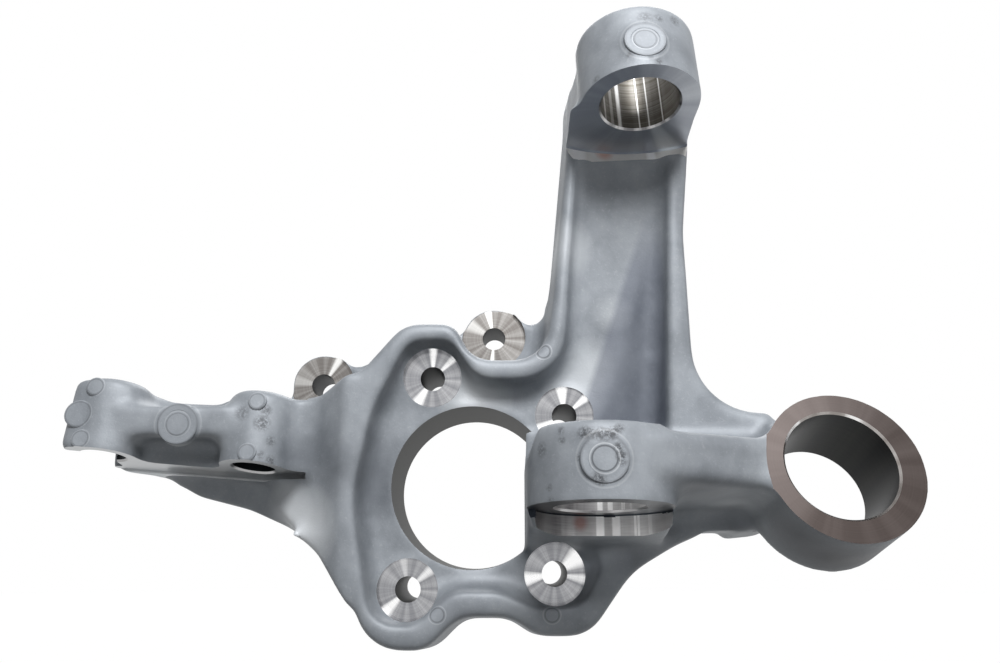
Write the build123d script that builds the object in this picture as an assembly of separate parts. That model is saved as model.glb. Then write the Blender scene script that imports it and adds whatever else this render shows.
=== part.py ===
from build123d import *
import math
import os

# Steering knuckle for a passenger car: one aluminium casting with its machined faces and bores.
# Millimetres. The origin is on the wheel-hub axis, in the face that the hub unit bolts to.
# +X is across the part, +Y points out to the wheel and +Z runs up the tall arm. A depth is
# measured inboard from the hub face, so a depth of 61 lies at Y = -61. A corner in an outline
# is (x, z, rounding radius).

# Hub seat: the bore, its four bolts and the machined land round each bolt.
HUB_BORE_R = 42.0
BARREL_WALL = 12.0
BOLT_CIRCLE_R = 60.8
BOLT_ANGLES = (110.6, 37.4, -46.1, -122.1)
BOLT_HOLE_R = 6.5
BOLT_BOSS_R = 15.5
SPOTFACE_R = 15.4
SPOTFACE_SINK = 0.6
BORE_CHAMFER = 1.0

# Depths of the casting and the rib that runs round it.
FLOOR_DEPTH = 61.0
RIB_HEIGHT = 15.0
PARTING_DEPTH = 25.0
BACK_DEPTH = 12.0
DRAFT = 4.0
POCKET_DRAFT = 14.0
RIB_CREST_FLAT = 2.4
POCKET_ROOT_FLAT = 3.0

# Hollows on the wheel side.
BACK_RIB = 9.0
BACK_FLOOR = 13.0
HUB_HOLLOW_R = 82.0
ARM_HOLLOW_DEPTH = 36.0
SMALLEST_HOLLOW = 60.0
TALL_BACK_Z = 70.0
TALL_BACK_DEPTH = 38.0
RIGHT_BACK_X = 105.0
RIGHT_BACK_DEPTH = 52.0

# Tall arm: its front channel has two floors that meet in a diagonal ridge.
CHANNEL_TOP_DEPTH = 67.0
CHANNEL_FOOT_Z = 58.0
CHANNEL_TOP_Z = 152.0
CHANNEL_SWEEP = 16.0
CHANNEL_SWEEP_FALL = 2.3
RIDGE_TOP = (107.0, 166.0)
RIDGE_FOOT = (69.0, 40.0)
RIDGE_FALL = 21.0
RIDGE_LIMIT_DEPTH = 45.0

# Head bush seat at the top of the tall arm.
HEAD_MOUTH = (87.4, -108.4, 191.4)
HEAD_UP = (-0.039, 0.207, 0.977)
HEAD_BORE_R = 20.5
HEAD_LENGTH = 40.0
HEAD_R = 31.2
HEAD_TOP_R = 4.0
HEAD_FLARE_LEFT = 37.0
HEAD_FLARE_RIGHT = 29.0
HEAD_FLARE_START = 34.0
HEAD_FLARE_END = 52.0
HEAD_FLARE_DRAFT = 5.0
HEAD_SHOULDER = 6.0
HEAD_LEDGE_R = 89.0
HEAD_LEDGE_REACH = 41.0
LEDGE_HEIGHT = 7.3

# Middle bush seat in front of the hub bore, on its pillar.
BOSS_MOUTH = (60.3, -125.3, -14.1)
BOSS_UP = (0.0, 0.06, 0.998)
BOSS_BORE_R = 20.5
BOSS_LENGTH = 37.0
BOSS_R = 33.5
BOSS_TOP_R = 8.0
BOSS_CUTTER_R = 32.0
BOSS_CUTTER_SHIFT = 2.2
PILLAR_FRONT = 110.0
PILLAR_LEFT = 27.5
PILLAR_RIGHT = 94.5
PILLAR_TOP = 20.0
PILLAR_FOOT = -24.0
PILLAR_ROOT = -34.0
PILLAR_SPREAD = 4.0
PILLAR_CORNER_R = 12.0

# Large eye and the neck that carries it.
EYE_MOUTH = (174.9, -111.8, 6.4)
EYE_FRONT = (0.082, -0.937, 0.34)
EYE_BORE_R = 27.0
EYE_LENGTH = 43.0
EYE_R = 38.0
EYE_SHIFT = (1.8, 0.8)
EYE_DRAFT = 1.5
EYE_BACK_R = 3.0
NECK_END = (149.0, -110.0)
NECK_TOP = 18.5
NECK_LOW = -3.0
NECK_END_LOW = -5.0
NECK_ROOT = (-16.0, 22.0)
NECK_EDGE_FLAT = 3.0

# Left arm: two upright bolt bosses with a common milled foot.
ARM_AXIS_DEPTH = 62.0
ARM_INNER_X = -114.0
ARM_INNER_Z = 9.5
ARM_OUTER_X = -193.0
ARM_OUTER_Z = 16.0
ARM_BORE_R = 11.0
ARM_BOSS_R = 18.0
ARM_BOSS_LENGTH = 38.0
ARM_BOSS_TOP_R = 4.0
ARM_LEAN = 8.5
ARM_WALL_DEPTH = 35.0
ARM_PLATE_DEPTH = 50.0
CHEEK_DEPTH = 28.0
END_REACH = 1.0
END_CORNER_R = 8.0
BAR_DEPTH = 76.0
BAR_BACK_DEPTH = 40.0
BAR_LOW = 25.0
BAR_HIGH = 40.5
BAR_EDGE_R = 2.0
FLANGE_HEIGHT = 6.0
FLANGE_DEPTH = 26.0

# Caliper ears.
EAR_HOLES = ((10.7, 86.2), (-86.1, 59.3))
EAR_HOLE_R = 6.5
EAR_FACE_DEPTH = 28.0
EAR_THICKNESS = 32.0
EAR_R = 17.6
EAR_STOCK = 5.0
EAR_STEP = 3.0

# Raised discs that the mould leaves on the head, the middle boss and the left arm's bar.
MARK_R = 10.5
MARK_PROUD = 0.8
MARK_ROOT = 4.0
HEAD_MARK_Z = 14.0
BOSS_MARK_Z = 19.0
BAR_MARK = (-150.5, 30.8)

# Cutters and joins run past the surface by these lengths.
OVERCUT = 30.0
JOIN = 12.0
PARTING_GAP = 1.0
FLAT_TOLERANCE = 0.01

# A round top edge is made as three flats: the middle one, and the two that ease its edges.
MIDDLE_FLAT = 0.6
EASING_FLAT = 0.22

# Values that follow from the sizes above.
UP = (Align.CENTER, Align.CENTER, Align.MIN)
RIB_DEPTH = FLOOR_DEPTH + RIB_HEIGHT
CHANNEL_SWEEP_DEPTH = CHANNEL_TOP_DEPTH + CHANNEL_SWEEP_FALL
BOLT_PLACES = [
    (BOLT_CIRCLE_R * math.cos(math.radians(a)), BOLT_CIRCLE_R * math.sin(math.radians(a)))
    for a in BOLT_ANGLES
]
ARM_RUN = ARM_INNER_X - ARM_OUTER_X
ARM_RISE = ARM_OUTER_Z - ARM_INNER_Z
ARM_PITCH = math.hypot(ARM_RUN, ARM_RISE)
ARM_SLOPE = math.degrees(math.atan2(ARM_RISE, ARM_RUN))

# Seats: the origin is in the middle of the bore's mouth and z runs up the bore.
HEAD_SEAT = Plane(origin=HEAD_MOUTH, x_dir=(1, 0, 0.04), z_dir=HEAD_UP)
BOSS_SEAT = Plane(origin=BOSS_MOUTH, x_dir=(1, 0, 0), z_dir=BOSS_UP)
EYE_SEAT = Plane(origin=EYE_MOUTH, x_dir=(1, 0, 0), z_dir=[-v for v in EYE_FRONT])
ARM_FOOT = Pos(ARM_INNER_X, -ARM_AXIS_DEPTH, ARM_INNER_Z)
ARM_SEAT = ARM_FOOT * Rot(0, ARM_SLOPE, 0) * Rot(-ARM_LEAN, 0, 0)

# The casting's rim at the crest of the rib, from the head down the left side and round.
RIM = [
    (54, 227, 12), (52, 186, 40), (43, 98, 60), (38, 64.5, 19), (-1.5, 64.5, 17), (-9.5, 84, 9),
    (-36, 84, 18), (-66, 49, 20), (-64, -40, 20), (-50.5, -79.5, 23), (-22, -80, 15), (-6, -64, 18),
    (20, -64, 22), (33, -73, 15), (58, -73, 20), (80, -42.5, 40), (110, -25, 50), (152, -22, 4),
    (155, 36.5, 4), (115.5, 37, 34), (113, 135, 80), (118, 186, 40), (113, 228, 12),
]

# The inner edge of the rib at its crest, round the hub pocket and up the arm's channel.
POCKET = [
    (57, 182, 10), (51, 110, 60), (47, 54.5, 26), (3, 54.5, 16), (-11, 75.5, 7), (-34, 75.5, 13),
    (-52, 38, 60), (-60.5, -5, 60), (-50, -68, 16), (-27, -69, 14), (-9, -52.5, 14),
    (14, -52.5, 20), (32, -60, 12), (56, -60, 15), (72, -26, 15), (100, 5, 15), (106, 182, 10),
]

# The web of the left arm.
LEFT_PLATE = [
    (-204, 20, 4), (-206, 34, 6), (-203, 51, 6), (-182, 53, 10), (-164, 46.5, 10), (-138, 45, 4),
    (-133, 48, 4), (-98, 47, 10), (-80, 51, 10), (-60, 60, 4), (-52, 10, 20), (-58, -58, 3),
    (-69, -49, 6), (-80, -32, 12), (-100, -20, 20), (-122, -10.5, 30), (-150, -3.5, 16),
    (-168, 6.5, 10), (-190, 11, 16),
]

# The flank that slopes from the rib's crest down to the inner boss, seen from the front and above.
LEFT_FLANK = [
    (-100, 42, 4), (-80, 48, 10), (-60, 60, 4), (-50, 10, 20), (-53, -68, 4), (-60, -60, 8),
    (-69, -47, 10), (-80, -32, 10), (-100, -20, 4),
]
FLANK_PLAN = [
    (-60, -RIB_DEPTH), (-60, -30), (-104, -30), (-104, -66), (-88, -58), (-66, -RIB_DEPTH),
]

# The webs from the caliper ears back to the rim.
EAR_ROOTS = (
    [(-12, 78, 2), (-2, 96, 8), (10, 104, 10), (22, 101, 6), (30, 92, 5), (37, 94, 4), (41, 103, 1),
     (50, 104, 2), (50, 60, 2), (-12, 60, 2)],
    [(-101, 66, 8), (-86, 77, 12), (-76, 75, 4), (-70, 69, 4), (-62, 70, 4), (-50, 80, 2), (-40, 40, 2),
     (-70, 40, 6), (-98, 46, 8)],
)


def at_depth(depth):
    """The plane at this depth, looking inboard, with x across and y up the part."""
    return Plane.XZ.offset(depth)


def outline(corners, depth):
    """A closed outline of straight runs and round corners."""
    points = [(x, z) for x, z, r in corners]
    radii = [r for x, z, r in corners]
    with BuildSketch(at_depth(depth)) as sketch:
        with BuildLine():
            FilletPolyline(*points, radius=radii, close=True)
        make_face()
    return sketch.sketch


def slab(corners, deep, shallow, draft=0.0):
    """An outline at the shallow depth, carried inboard to the deep one."""
    return extrude(outline(corners, shallow), amount=deep - shallow, taper=draft)


def rod(x, z, radius, deep, shallow):
    """A round bar along the hub axis."""
    return at_depth(shallow) * Pos(x, z, 0) * Cylinder(radius, deep - shallow, align=UP)


def edges_at(solid, depth):
    """The edges of a solid that lie flat at this depth."""
    found = []
    for edge in solid.edges():
        box = edge.bounding_box()
        if max(abs(box.min.Y + depth), abs(box.max.Y + depth)) < FLAT_TOLERANCE:
            found.append(edge)
    return found


def prism(points, plane, length):
    """A straight-sided outline on a plane, carried along the plane's normal."""
    with BuildSketch(plane) as sketch:
        with BuildLine():
            Polyline(*points, close=True)
        make_face()
    return extrude(sketch.sketch, amount=length)


def side_prism(points, left, right):
    """An outline of (y, z) points seen from the side, carried across from left to right."""
    return prism(points, Plane.YZ.offset(left), right - left)


def plan_prism(points, low, high):
    """An outline of (x, y) points seen from above, carried up from low to high."""
    return prism(points, Plane.XY.offset(low), high - low)


def round_bore(radius, length):
    """A machined bore up from its mouth, with a chamfer at each end."""
    flare = Cone(radius + BORE_CHAMFER, radius, BORE_CHAMFER, align=UP)
    hole = Pos(0, 0, -BORE_CHAMFER) * Cylinder(radius, length + 2 * BORE_CHAMFER, align=UP)
    return hole + flare + Pos(0, 0, length) * Rot(180, 0, 0) * flare


def eased_barrel(barrel, radius):
    """A barrel whose top edge is rounded in three flats."""
    rim = barrel.edges().sort_by(Axis.Z)[-1]
    barrel = chamfer(rim, MIDDLE_FLAT * radius)
    corners = barrel.edges().filter_by(GeomType.CIRCLE).sort_by(Axis.Z)[-2:]
    return chamfer(corners, EASING_FLAT * radius)


def tangent_point(centre, radius, target):
    """Where a line from the target, seen from above, touches the near side of a circle."""
    dx, dy = target[0] - centre[0], target[1] - centre[1]
    turn = math.atan2(dy, dx) - math.acos(radius / math.hypot(dx, dy))
    return centre[0] + radius * math.cos(turn), centre[1] + radius * math.sin(turn)


# The web, the rib and the tall arm.


def rim_body():
    """The web and both upper arms as one drafted block, with a bevelled crest."""
    front = extrude(outline(RIM, RIB_DEPTH), amount=PARTING_DEPTH - RIB_DEPTH, taper=-DRAFT)
    front = chamfer(edges_at(front, RIB_DEPTH), RIB_CREST_FLAT)
    parting = front.faces().sort_by(Axis.Y)[-1]
    back = extrude(parting, amount=PARTING_DEPTH - BACK_DEPTH, dir=(0, 1, 0), taper=DRAFT)
    return front + back


def back_slopes():
    """What is taken off behind the head and behind the right arm, where both get thinner."""
    top = HEAD_MOUTH[2] + 2 * OVERCUT
    behind_head = [
        (-BACK_DEPTH, TALL_BACK_Z), (-TALL_BACK_DEPTH, top), (OVERCUT, top), (OVERCUT, TALL_BACK_Z),
    ]
    right = NECK_END[0] + OVERCUT
    behind_arm = [
        (RIGHT_BACK_X, OVERCUT), (RIGHT_BACK_X, -BACK_DEPTH), (right, -RIGHT_BACK_DEPTH),
        (right, OVERCUT),
    ]
    head_slope = side_prism(behind_head, RIDGE_FOOT[0] - 2 * OVERCUT, RIDGE_TOP[0] + OVERCUT)
    return head_slope + plan_prism(behind_arm, -2 * OVERCUT, 2 * OVERCUT)


def channel_floor():
    """The raised floor of the arm's channel, which sweeps out to the underside of the head."""
    top = CHANNEL_TOP_Z + 2 * CHANNEL_SWEEP
    profile = [
        (-FLOOR_DEPTH, CHANNEL_FOOT_Z), (-CHANNEL_TOP_DEPTH, CHANNEL_TOP_Z),
        (-CHANNEL_SWEEP_DEPTH, CHANNEL_TOP_Z + CHANNEL_SWEEP), (-RIB_DEPTH - PARTING_GAP, top),
        (0, top), (0, CHANNEL_FOOT_Z),
    ]
    return side_prism(profile, RIDGE_FOOT[0] - OVERCUT, RIDGE_TOP[0] + OVERCUT)


def ridge_side():
    """The right half of the channel, which falls away from the diagonal ridge."""
    foot = Vector(RIDGE_FOOT[0], -FLOOR_DEPTH, RIDGE_FOOT[1])
    top = Vector(RIDGE_TOP[0], -CHANNEL_TOP_DEPTH, RIDGE_TOP[1])
    ridge = Plane(origin=foot, x_dir=top - foot, z_dir=(top - foot).cross(Vector(-1, 0, 0)))
    reach = 2 * HEAD_MOUTH[2]
    front = ridge * Rot(RIDGE_FALL, 0, 0) * Box(reach, reach, reach, align=UP)
    deep = extrude(outline(POCKET, RIB_DEPTH), amount=RIDGE_LIMIT_DEPTH - RIB_DEPTH, taper=POCKET_DRAFT / 2)
    return deep & front & Box(reach, reach, reach, align=UP)


def pocket():
    """The hollow inside the rib: the hub pocket and the channel of the tall arm."""
    hollow = extrude(outline(POCKET, RIB_DEPTH), amount=-RIB_HEIGHT, taper=POCKET_DRAFT)
    hollow = chamfer(edges_at(hollow, FLOOR_DEPTH), POCKET_ROOT_FLAT)
    mouth = slab(POCKET, RIB_DEPTH + OVERCUT, RIB_DEPTH)
    return hollow + mouth - channel_floor() + ridge_side()


def back_hollows():
    """The hollows cast into the wheel side, inside the rim and round the hub barrel."""
    rim = offset(Plane.XZ.to_local_coords(outline(RIM, 0)), amount=-BACK_RIB)
    solid_parts = Circle(HUB_BORE_R + BARREL_WALL)
    for x, z in BOLT_PLACES:
        solid_parts += Pos(x, z) * Circle(BOLT_BOSS_R)
    for x, z in EAR_HOLES:
        solid_parts += Pos(x, z) * Circle(EAR_R + BACK_RIB)
    near_hub = (rim - solid_parts) & Circle(HUB_HOLLOW_R)
    far_off = rim - solid_parts - Circle(HUB_HOLLOW_R)
    hollows = []
    for region, depth in ((near_hub, FLOOR_DEPTH - BACK_FLOOR), (far_off, ARM_HOLLOW_DEPTH)):
        for face in region.faces():
            if face.area > SMALLEST_HOLLOW:
                hollows.append(extrude(at_depth(-OVERCUT) * face, amount=depth + OVERCUT))
    result = hollows[0]
    for hollow in hollows[1:]:
        result += hollow
    return result


def hub_flange():
    """The barrel and the bolt bosses that stand out to the machined hub face."""
    flange = rod(0, 0, HUB_BORE_R + BARREL_WALL + PARTING_GAP, BACK_DEPTH + JOIN, 0)
    for x, z in BOLT_PLACES:
        flange += rod(x, z, BOLT_BOSS_R + PARTING_GAP, BACK_DEPTH + JOIN, 0)
    return flange


def caliper_ear(x, z, root):
    """One ear for the brake caliper, with its web back to the rim."""
    back = EAR_FACE_DEPTH - EAR_THICKNESS
    ear = rod(x, z, EAR_R, EAR_FACE_DEPTH, back)
    return ear + slab(root, EAR_FACE_DEPTH + EAR_STOCK, back + EAR_STEP)


# The seats that stand in front of the web.


def head():
    """The bush seat at the top of the tall arm, flared back into the arm."""
    barrel = eased_barrel(Cylinder(HEAD_R, HEAD_LENGTH, align=UP), HEAD_TOP_R)
    root = Polyline(
        (-HEAD_FLARE_LEFT, HEAD_FLARE_START), (HEAD_FLARE_RIGHT, HEAD_FLARE_START),
        (HEAD_FLARE_RIGHT, HEAD_FLARE_END), (-HEAD_FLARE_LEFT, HEAD_FLARE_END), close=True,
    )
    flare = make_hull(Circle(HEAD_R).edges() + root.edges())
    flare = extrude(flare, amount=HEAD_LENGTH - HEAD_SHOULDER, taper=HEAD_FLARE_DRAFT)
    return HEAD_SEAT * (barrel + flare)


def head_milling():
    """The milled mouth face of the head, which leaves a curved ledge in the arm."""
    disc = Rot(180, 0, 0) * Cylinder(HEAD_LEDGE_R, LEDGE_HEIGHT, align=UP)
    return HEAD_SEAT * Pos(0, HEAD_LEDGE_REACH - HEAD_LEDGE_R, 0) * disc


def middle_boss():
    """The bush seat in front of the hub bore."""
    return BOSS_SEAT * eased_barrel(Cylinder(BOSS_R, BOSS_LENGTH, align=UP), BOSS_TOP_R)


def pillar():
    """The block that carries the middle boss on the web, with a sloping underside."""
    root = FLOOR_DEPTH - JOIN
    profile = [
        (-PILLAR_FRONT, PILLAR_FOOT), (-PILLAR_FRONT, PILLAR_TOP),
        (-FLOOR_DEPTH, PILLAR_TOP + PILLAR_SPREAD), (-root, PILLAR_TOP + PILLAR_SPREAD),
        (-root, PILLAR_ROOT), (-FLOOR_DEPTH, PILLAR_ROOT),
    ]
    block = side_prism(profile, PILLAR_LEFT, PILLAR_RIGHT)
    corner = block.edges().filter_by(Axis.Z).sort_by(Axis.X)[:2].sort_by(Axis.Y)[0]
    return fillet(corner, PILLAR_CORNER_R)


def boss_milling():
    """The milled mouth face of the middle boss, sunk into the pillar, and the bush's way in."""
    disc = Rot(180, 0, 0) * Cylinder(BOSS_CUTTER_R, LEDGE_HEIGHT, align=UP)
    way_in = Rot(180, 0, 0) * Cylinder(BOSS_BORE_R + BORE_CHAMFER, OVERCUT, align=UP)
    return BOSS_SEAT * (Pos(BOSS_CUTTER_SHIFT, 0, 0) * disc + way_in)


def neck():
    """The arm from the middle boss to the large eye, tall at the web and low at its front."""
    start = tangent_point(BOSS_MOUTH, BOSS_R, NECK_END)
    sections = []
    for (x, front), low in ((start, NECK_LOW), (NECK_END, NECK_END_LOW)):
        corners = [
            (front, NECK_TOP), (front, low), (-FLOOR_DEPTH, NECK_ROOT[0]), (-FLOOR_DEPTH, NECK_ROOT[1]),
        ]
        with BuildSketch(Plane.YZ.offset(x)) as sketch:
            with BuildLine():
                Polyline(*corners, close=True)
            make_face()
        sections.append(sketch.sketch)
    arm = loft(sections, ruled=True)
    long_edges = [e for e in arm.edges() if e.bounding_box().size.X > NECK_TOP]
    return chamfer(ShapeList(long_edges).sort_by(Axis.Y)[:2], NECK_EDGE_FLAT)


def eye():
    """The thick ring of the large eye."""
    back_r = EYE_R - EYE_LENGTH * math.tan(math.radians(EYE_DRAFT))
    ring = eased_barrel(Cone(EYE_R, back_r, EYE_LENGTH, align=UP), EYE_BACK_R)
    return EYE_SEAT * Pos(*EYE_SHIFT, 0) * ring


# The left arm.


def left_plate():
    """The web of the left arm, from the outer boss to the rim."""
    return slab(LEFT_PLATE, ARM_PLATE_DEPTH, BACK_DEPTH + EAR_STEP)


def left_bosses():
    """The two upright bolt bosses, each joined to the plate behind it, the outer one square."""
    boss = eased_barrel(Cylinder(ARM_BOSS_R, ARM_BOSS_LENGTH, align=UP), ARM_BOSS_TOP_R)
    width = 2 * (ARM_BOSS_R - END_REACH)
    height = ARM_BOSS_LENGTH - END_REACH
    inner = boss + Box(width, CHEEK_DEPTH, height, align=(Align.CENTER, Align.MIN, Align.MIN))
    end = Pos(-2 * END_REACH, END_REACH, 0) * Box(width, width, height, align=UP)
    end = fillet(end.edges().filter_by(Axis.Z), END_CORNER_R)
    end = chamfer(end.edges().group_by(Axis.Z)[-1], MIDDLE_FLAT * ARM_BOSS_TOP_R)
    return ARM_SEAT * (inner + Pos(-ARM_PITCH, 0, 0) * (inner + end))


def left_bar():
    """The bar between the two bosses and the low flange along the milled foot."""
    left = ARM_OUTER_X + ARM_BOSS_R / 2
    right = ARM_INNER_X - ARM_BOSS_R / 2
    corners = [(left, BAR_HIGH), (right, BAR_HIGH), (right, BAR_LOW), (left, BAR_LOW)]
    bar = slab([(x, z, BAR_EDGE_R) for x, z in corners], BAR_DEPTH, BAR_BACK_DEPTH)
    flange = Box(ARM_PITCH, FLANGE_DEPTH, FLANGE_HEIGHT, align=(Align.MAX, Align.MIN, Align.MIN))
    return bar + ARM_SEAT * Pos(0, ARM_BOSS_R - JOIN, 0) * flange


def left_flank():
    """The drafted slope from the rib's crest down to the inner boss."""
    plan = plan_prism(FLANK_PLAN, -RIB_DEPTH, RIB_DEPTH)
    return plan & slab(LEFT_FLANK, RIB_DEPTH + JOIN, BACK_DEPTH + JOIN)


def foot_milling():
    """The milled foot of the left arm, which ends in a low wall behind the bosses."""
    back = ARM_AXIS_DEPTH - ARM_WALL_DEPTH
    width = ARM_PITCH + 2 * ARM_BOSS_R + OVERCUT
    run = Box(width, 4 * OVERCUT, OVERCUT, align=(Align.MAX, Align.MAX, Align.MAX))
    return ARM_SEAT * Pos(ARM_BOSS_R + JOIN + JOIN, back, 0) * run


# The marks left by the mould.


def mould_marks():
    """The raised discs, each with z running into the casting."""
    on_head = HEAD_SEAT * Pos(0, -HEAD_R - MARK_PROUD, HEAD_MARK_Z) * Rot(-90, 0, 0)
    on_boss = BOSS_SEAT * Pos(0, -BOSS_R - MARK_PROUD, BOSS_MARK_Z) * Rot(-90, 0, 0)
    on_bar = at_depth(BAR_DEPTH + MARK_PROUD) * Pos(*BAR_MARK, 0) * Rot(180, 0, 0)
    disc = Cylinder(MARK_R, MARK_PROUD + MARK_ROOT, align=UP)
    return [place * disc for place in (on_head, on_boss, on_bar)]


def casting():
    """Everything as it leaves the mould."""
    body = rim_body() - back_slopes() + hub_flange() - back_hollows() - pocket()
    for (x, z), root in zip(EAR_HOLES, EAR_ROOTS):
        body += caliper_ear(x, z, root)
    body += left_plate()
    body += left_flank()
    body += left_bosses() + left_bar()
    body += head()
    body += pillar() + neck()
    body += middle_boss()
    body += eye()
    for mark in mould_marks():
        body += mark
    return body


def machined(body):
    """The casting with its milled faces and its bores."""
    body -= head_milling() + boss_milling()
    body -= foot_milling()
    body -= rod(0, 0, HUB_BORE_R, FLOOR_DEPTH, -OVERCUT)
    for x, z in BOLT_PLACES:
        body -= rod(x, z, BOLT_HOLE_R, RIB_DEPTH, -OVERCUT)
        body -= rod(x, z, SPOTFACE_R, FLOOR_DEPTH + OVERCUT, FLOOR_DEPTH - SPOTFACE_SINK)
    for x, z in EAR_HOLES:
        body -= rod(x, z, EAR_HOLE_R, RIB_DEPTH, -OVERCUT)
        body -= rod(x, z, EAR_R, EAR_FACE_DEPTH + JOIN, EAR_FACE_DEPTH)
    body -= HEAD_SEAT * round_bore(HEAD_BORE_R, HEAD_LENGTH)
    body -= BOSS_SEAT * round_bore(BOSS_BORE_R, BOSS_LENGTH)
    body -= EYE_SEAT * round_bore(EYE_BORE_R, EYE_LENGTH)
    for x in (0, -ARM_PITCH):
        body -= ARM_SEAT * Pos(x, 0, 0) * round_bore(ARM_BORE_R, ARM_BOSS_LENGTH)
    return body


os.makedirs("parts", exist_ok=True)
knuckle = machined(casting())
export_step(knuckle, "parts/knuckle.step")
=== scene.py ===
import math

import bmesh
import bpy
from mathutils import Matrix, Vector


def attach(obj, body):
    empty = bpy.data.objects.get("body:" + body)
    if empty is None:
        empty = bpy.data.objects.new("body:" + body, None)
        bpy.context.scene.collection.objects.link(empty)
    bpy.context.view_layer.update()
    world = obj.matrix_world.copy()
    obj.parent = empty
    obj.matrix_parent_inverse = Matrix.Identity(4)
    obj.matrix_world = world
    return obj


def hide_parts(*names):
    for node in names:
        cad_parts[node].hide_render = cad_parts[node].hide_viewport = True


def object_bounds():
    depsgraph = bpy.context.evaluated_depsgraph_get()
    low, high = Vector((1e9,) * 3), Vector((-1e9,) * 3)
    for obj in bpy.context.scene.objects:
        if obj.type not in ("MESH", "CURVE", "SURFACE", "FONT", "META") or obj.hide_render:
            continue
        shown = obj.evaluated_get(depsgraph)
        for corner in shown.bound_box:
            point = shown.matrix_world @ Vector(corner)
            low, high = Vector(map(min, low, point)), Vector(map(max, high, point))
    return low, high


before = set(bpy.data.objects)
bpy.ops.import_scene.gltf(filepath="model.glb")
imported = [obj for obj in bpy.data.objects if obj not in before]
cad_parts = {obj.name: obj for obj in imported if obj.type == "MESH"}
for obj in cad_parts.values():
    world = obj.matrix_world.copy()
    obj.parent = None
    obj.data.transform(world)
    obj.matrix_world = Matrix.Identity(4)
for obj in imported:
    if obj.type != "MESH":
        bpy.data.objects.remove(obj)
cad_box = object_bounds()

# Sizes below are in millimetres, in the CAD model's frame; MM turns them to metres.
MM = 0.001

# The machined seats: the middle of each bore's mouth and the way the bore runs from it.
HEAD_MOUTH, HEAD_UP = (87.4, -108.4, 191.4), (-0.039, 0.207, 0.977)
BOSS_MOUTH, BOSS_UP = (60.3, -125.3, -14.1), (0.0, 0.06, 0.998)
EYE_MOUTH, EYE_BACK = (174.9, -111.8, 6.4), (-0.082, 0.937, -0.34)
ARM_INNER, ARM_OUTER, ARM_UP = (-114.0, -62.0, 9.5), (-193.0, -62.0, 16.0), (0.081101, 0.147809, 0.985685)
HEAD_BORE_R, HEAD_LENGTH, HEAD_R = 20.5, 40.0, 31.2
BOSS_BORE_R, BOSS_LENGTH, BOSS_R = 20.5, 34.3, 33.5
EYE_BORE_R, EYE_LENGTH, EYE_R = 27.0, 43.0, 38.0
ARM_BORE_R, ARM_LENGTH, ARM_BOSS_R = 11.0, 38.0, 18.0

# What the cutters leave: the head's curved ledge, the middle boss's slot and the step behind the arm's foot.
HEAD_LEDGE_R, HEAD_LEDGE_REACH, LEDGE_HEIGHT = 89.0, 41.0, 7.3
BOSS_CUTTER_R, BOSS_CUTTER_SHIFT, SLOT_HEIGHT = 32.0, 2.2, 10.3
EYE_SHIFT = (1.8, 0.8)
FOOT_WALL, ARM_WALL_DEPTH, FOOT_LEFT, FOOT_RIGHT, FOOT_FRONT = 3.2, 35.0, -105.0, 27.5, -40.0
PILLAR_LEFT = 27.5
CHAMFER = 1.0

# Hub seat, its screw holes and the caliper ears.
HUB_BORE_R, FLOOR_DEPTH, RIB_DEPTH, BARREL_WALL = 42.0, 61.0, 76.0, 12.0
BOLT_CIRCLE_R, BOLT_ANGLES = 60.8, (110.6, 37.4, -46.1, -122.1)
BOLT_HOLE_R, SPOTFACE_R, SPOTFACE_SINK = 6.5, 15.4, 0.6
BOLT_PLACES = [
    (BOLT_CIRCLE_R * math.cos(math.radians(a)), BOLT_CIRCLE_R * math.sin(math.radians(a))) for a in BOLT_ANGLES
]
EAR_HOLES, EAR_R, EAR_FACE_DEPTH, EAR_BACK = ((10.7, 86.2), (-86.1, 59.3)), 17.6, 28.0, 4.0

# Filled smoothly: the flank where the left arm runs into the web, the front below the foot, and the groove
# beside the inner boss.
FLANK_FILL = (
    (-66.0, -76.0, 12.0), (-88.0, -58.0, 8.0), (-66.0, -74.0, -45.0), (-82.0, -52.0, -31.0),
    (-112.0, -37.5, -4.0), (-104.0, -37.5, -14.0), (-90.0, -34.0, 8.0), (-60.0, -35.0, 12.0),
    (-60.0, -35.0, -43.0), (-112.0, -33.0, -4.0), (-104.0, -33.0, -14.0),
)
FOOT_FRONT_FILL = (
    (-162.0, -39.8, 6.1), (-82.0, -39.8, -0.5), (-162.0, -36.3, 2.5), (-82.0, -36.3, -22.0),
    (-162.0, -30.0, 6.1), (-82.0, -30.0, -0.5), (-162.0, -30.0, 2.5), (-82.0, -30.0, -22.0),
)
ARM_GROOVE_FILL = (
    (-101.0, -63.0, 6.0), (-82.0, -63.0, 6.0), (-82.0, -45.0, 6.0), (-101.0, -45.0, 6.0),
    (-101.0, -63.0, 46.0), (-82.0, -63.0, 46.0), (-82.0, -45.0, 46.0), (-101.0, -45.0, 46.0),
)

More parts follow.
